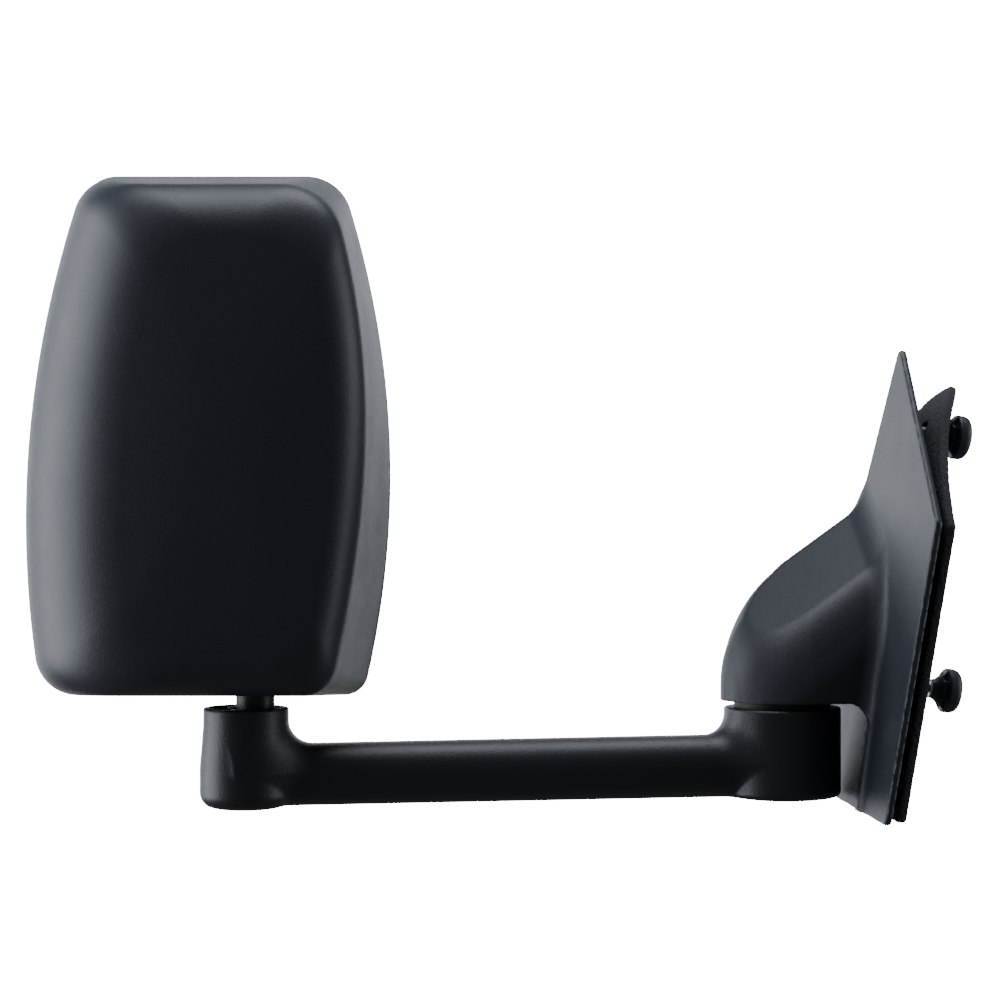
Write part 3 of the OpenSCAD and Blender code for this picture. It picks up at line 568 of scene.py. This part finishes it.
def flutes(angle, height, radius):
    """Eight round flutes of radius 3.2 centred 11 mm out, fading at both ends."""
    turn = (angle + math.pi / 8) % (math.pi / 4) - math.pi / 8
    reach = 3.2**2 - (11 * np.sin(turn)) ** 2
    cut = np.where(reach > 0, 11 * np.cos(turn) - np.sqrt(np.maximum(reach, 0)), 99)
    fade = np.clip((height - 1.2) / 1.4, 0, 1) * np.clip((8.0 - height) / 1.6, 0, 1)
    return radius - np.maximum(radius - np.minimum(radius, cut), 0) * fade


def thread_from(start):
    """Rolled thread of 1 mm pitch and 0.35 mm depth from a height on, cut below the nominal radius."""
    def swell(angle, height, radius):
        phase = (height + angle / (2 * math.pi)) % 1.0
        ridge = 0.35 * np.abs(2 * phase - 1)
        on = np.clip((height - start) / 0.8, 0, 1) * (radius > 2.0)
        return radius - ridge * on
    return swell


plated_steel = finish_of("plated_steel", (0.48, 0.49, 0.51), (0.60, 0.61, 0.63), 0.30, 700, 0.08, metallic=1)
KNOB = round_profile([(0, 0, 0), (5, 0, 0.4), (5.1, 1.2, 0.5), (6, 3.2, 0.8), (8, 5.6, 1), (10.6, 7.3, 0.9),
                      (12, 8.4, 0.8), (12, 13.0, 1.6), (10.6, 15.3, 1.5), (6, 16.4, 2), (0, 16.5, 0)])
for name, side, at, shank in (("upper", 1, 12.5, 4.5), ("lower", -1, 26.2, 17.4)):
    points, faces = turned(KNOB, 192, 0.45, flutes)
    add_piece(name + "_hand_knob", on_stud(points, side, at), faces, name + "_knob_body", "plastic",
              moulded_plastic, "knob_" + name, crease=60)
    ring = round_profile([(0, -0.8, 0), (5.2, -0.8, 0.2), (5.2, 0, 0.2), (0, 0, 0)])
    points, faces = turned(ring, 64, 0.4)
    add_piece(name + "_flat_washer", on_stud(points, side, at), faces, name + "_washer_body", "steel",
              plated_steel, "washer_" + name)
    base = -9.8 if side > 0 else -11.3
    flange_r, flange_t, shoulder = (6, 2.5, -4.6) if side > 0 else (6.5, 3.2, -4.8)
    tip = at + 7.5
    body = round_profile([(0, base, 0), (flange_r, base, 0.3), (flange_r, base + flange_t, 0.3),
                          (3.4, base + flange_t, 0), (3.4, shoulder, 0.2), (3, shoulder + 0.3, 0),
                          (3, shank, 0.2), (2.6, shank + 0.5, 0), (2.6, tip - 0.6, 0),
                          (2.0, tip, 0), (0, tip, 0)])
    points, faces = turned(body, 64, 0.125, thread_from(shank + 0.5))
    add_piece(name + "_stud", on_stud(points, side, 0), faces, "base", "steel", plated_steel, "stud_" + name)


# Elbow cap and its two screws: a soft black lid pressed into the top of the elbow round the post's neck.
black_nylon = finish_of("black_nylon", (0.008, 0.009, 0.010), (0.014, 0.015, 0.017), 0.55, 600, 0.2)


def cap_field(p):
    """Flat lid with a rounded edge, a hole for the neck and two for the screws."""
    lid = drum(p, ELBOW_X, ARM_Y, 18.35, -81.4, -78.9, 0.2, 0.7)
    lid = cut_round(lid, drum(p, POST_X, ARM_Y, 10.4, -90, -70, 0.1, 0.1), 0.5)
    for side in (-1, 1):
        lid = np.maximum(lid, -drum(p, ELBOW_X - 6.5, ARM_Y + side * 10.5, 1.6, -90, -70, 0.1, 0.1))
    return lid


cap_points, cap_quads = net_solid(cap_field, (-371, -9, -82), (-333, 29, -78), 0.5)
add_piece("elbow_lid", cap_points * MM, cap_quads, "arm", "black_nylon", black_nylon, "elbow_cap")
screw = round_profile([(0, -11, 0), (1.0, -11, 0), (1.5, -10.3, 0), (1.5, 0, 0), (2.6, 0, 0.15),
                       (2.6, 0.8, 0.4), (1.9, 1.5, 0.3), (1.1, 1.5, 0.1), (1.1, 0.6, 0), (0, 0.6, 0)])
points, faces = turned(screw, 48, 0.15)
pair = np.concatenate([points + [ELBOW_X - 6.5, ARM_Y + side * 10.5, -78.9] for side in (-1, 1)])
faces = faces + [[k + len(points) for k in face] for face in faces]
add_piece("elbow_lid_screws", pair * MM, faces, "arm", "steel", plated_steel, "elbow_cap_screws")


# Bezel and glasses: a flat frame clipped into the rim round two openings, the flat main glass above and the
# convex spotter below, both silvered and held in their carriers.
MAIN_FACE, SPOT_FACE, GLASS_BACK = 27.9, 32.2, 26.0
SPOT_RADIUS = 600


def glass_loop(which, inset, radius):
    """Outline of one of the two areas, moved in from the head's rim by inset, as (u, z)."""
    split = 2.0
    top = 0 if which == "main" else HEAD_TOP - (split - 6) - 11
    bottom = 0 if which == "spot" else split + 6 - HEAD_BOTTOM - 11
    return head_loop([inset, inset, inset + top, inset + bottom], np.full(4, radius))


def loop_field(u, z, loop):
    """Distance from a convex loop of (u, z) points, negative inside."""
    along = np.roll(loop, -1, axis=0) - loop
    length = np.linalg.norm(along, axis=1)
    nearest, deepest = np.full(u.shape, 1e9), np.full(u.shape, -1e9)
    for k in np.flatnonzero(length > 1e-6):
        pu, pz = u - loop[k, 0], z - loop[k, 1]
        share = np.clip((pu * along[k, 0] + pz * along[k, 1]) / length[k] ** 2, 0, 1)
        nearest = np.minimum(nearest, np.hypot(pu - share * along[k, 0], pz - share * along[k, 1]))
        deepest = np.maximum(deepest, (pu * along[k, 1] - pz * along[k, 0]) / length[k])
    return np.where(deepest > 0, nearest, -nearest)


bezel_rim = head_loop([3, 3.8, 3.7, 3.1], np.array([11.0, 22, 16, 17]))[::3]
windows = [glass_loop("main", 11, 13.0)[::3], glass_loop("spot", 11, 9.0)[::3]]


def bezel_field(p):
    """The rim outline less the two windows, 3 mm thick, with rounded edges."""
    u, w, z = p[..., 0], p[..., 1], p[..., 2]
    outline = loop_field(u, z, bezel_rim)
    for window in windows:
        outline = cut_round(outline, loop_field(u, z, window), 0.1)
    return slab_field(outline, w, 34.5, 37.5, 1.0)


bezel_points, bezel_quads = net_solid(bezel_field, (-122, 34, -71), (66, 38, 201), 1.3)
add_piece("bezel_frame", head_place(bezel_points), bezel_quads, "head", "plastic", moulded_plastic,
          "head_bezel")
silvered = finish_of("silvered_glass", (0.82, 0.85, 0.87), (0.86, 0.88, 0.90), 0.06, 300, 0.0, metallic=1)
for which, radius, centre in (("main", 9.5, (-27, 101)), ("spot", 6.5, (-30, -33))):
    front = MAIN_FACE if which == "main" else SPOT_FACE
    loop = glass_loop(which, 15.1, radius)
    middle = np.array(centre)
    rings = []
    shares = np.concatenate([np.linspace(0, 1, 22)[1:-1], 1 - np.array([6, 3, 1, 0]) * 0.0015])
    for k, share in enumerate(shares):
        ring = middle + (loop - middle) * share
        distance = np.linalg.norm(ring - middle, axis=1)
        crown = front if which == "main" else front - (SPOT_RADIUS - np.sqrt(SPOT_RADIUS**2 - distance**2))
        edge = 0.35 * (1 - math.sqrt(1 - min(1, max(0, (share - 0.99) / 0.01)) ** 2))
        rings.append(np.stack([ring[:, 0], np.full(len(ring), crown) - edge, ring[:, 1]], 1))
    rings.append(np.stack([loop[:, 0], np.full(len(loop), GLASS_BACK), loop[:, 1]], 1))
    rings = np.array(rings)
    ends = np.array([[middle[0], front, middle[1]], [middle[0], GLASS_BACK, middle[1]]])
    add_piece(which + "_glass_sheet", head_place(np.concatenate([rings.reshape(-1, 3), ends])),
              ring_faces(len(rings), rings.shape[1]), which + "_glass", "mirror", silvered, which + "_mirror",
              crease=50)


# Metal and plastic of the pieces inside, which keep their CAD shapes: zinc-plated steel and castings, bright
# steel, brass, natural nylon and black nylon.
zinc = finish_of("zinc_plate", (0.40, 0.40, 0.41), (0.55, 0.55, 0.54), 0.38, 260, 0.10, metallic=1)
brass = finish_of("brass", (0.56, 0.40, 0.17), (0.64, 0.46, 0.20), 0.28, 500, 0.08, metallic=1)
nylon = finish_of("nylon", (0.62, 0.60, 0.53), (0.70, 0.68, 0.61), 0.45, 500, 0.10)
by_slot = {"plastic": moulded_plastic, "casting": powder_coat, "foam": foam, "steel": plated_steel,
           "zinc": zinc, "nylon": nylon, "black_nylon": black_nylon, "brass": brass, "mirror": silvered}
slot_of = {part["node"]: part["material_slot"] for part in frame["record"]["subparts"]}
for name, node in frame["nodes"].items():
    node.data.materials.clear()
    node.data.materials.append(by_slot[slot_of[name]])


# Studio: white all round as the camera sees it but dim as a light, a pale floor below the main camera's view
# that lights nothing, a wide soft panel behind, and soft panels left, right and above. The front stays dark,
# so the barrel falls off to black.
FLOOR_Z = -0.9
SUBJECT = np.array([-0.25, 0.0, 0.05])
floor_corners = [(x, y, FLOOR_Z) for x, y in ((-2.6, -3), (2.6, -3), (2.6, 2.2), (-2.6, 2.2))]
floor_mesh = bpy.data.meshes.new("floor")
floor_mesh.from_pydata(floor_corners, [], [[0, 1, 2, 3]])
pale = finish_of("pale_floor", (0.80, 0.80, 0.80), (0.84, 0.84, 0.84), 0.8, 20, 0.0)
floor_shader = pale.node_tree.nodes["Principled BSDF"]
floor_shader.inputs["Emission Color"].default_value = (1, 1, 1, 1)
floor_shader.inputs["Emission Strength"].default_value = 0.8
floor_mesh.materials.append(pale)
floor = bpy.data.objects.new("floor", floor_mesh)
floor.visible_diffuse = floor.visible_glossy = False
bpy.context.scene.collection.objects.link(floor)
panels = (
    ("rear_panel", (-0.25, 2.6, 0.2), (3.6, 2.4), 52),
    ("left_panel", (-1.7, 0.35, 0.10), (1.4, 1.7), 34),
    ("right_panel", (1.35, -0.30, 0.15), (1.0, 1.7), 12),
    ("top_panel", (-0.3, 0.1, 1.6), (2.0, 0.9), 26),
)
for name, place, size, power in panels:
    data = bpy.data.lights.new(name, "AREA")
    data.shape = "RECTANGLE"
    data.size, data.size_y = size
    data.energy = power
    data.color = (0.88, 0.93, 1.0)
    light = bpy.data.objects.new(name, data)
    light.location = place
    ahead = SUBJECT - np.array(place)
    tilt = math.atan2(math.hypot(ahead[0], ahead[1]), -ahead[2])
    light.rotation_euler = (tilt, 0, math.atan2(-ahead[0], ahead[1]))
    bpy.context.scene.collection.objects.link(light)
world = bpy.data.worlds.new("studio")
world.use_nodes = True
sky = world.node_tree
seen, dim = sky.nodes.new("ShaderNodeBackground"), sky.nodes["Background"]
rays, chosen = sky.nodes.new("ShaderNodeLightPath"), sky.nodes.new("ShaderNodeMixShader")
dim.inputs["Color"].default_value = (0.9, 0.94, 1.0, 1)
dim.inputs["Strength"].default_value = 0.12
seen.inputs["Color"].default_value = (1, 1, 1, 1)
seen.inputs["Strength"].default_value = 20
sky.links.new(rays.outputs["Is Camera Ray"], chosen.inputs[0])
sky.links.new(dim.outputs[0], chosen.inputs[1])
sky.links.new(seen.outputs[0], chosen.inputs[2])
sky.links.new(chosen.outputs[0], sky.nodes["World Output"].inputs["Surface"])
bpy.context.scene.world = world
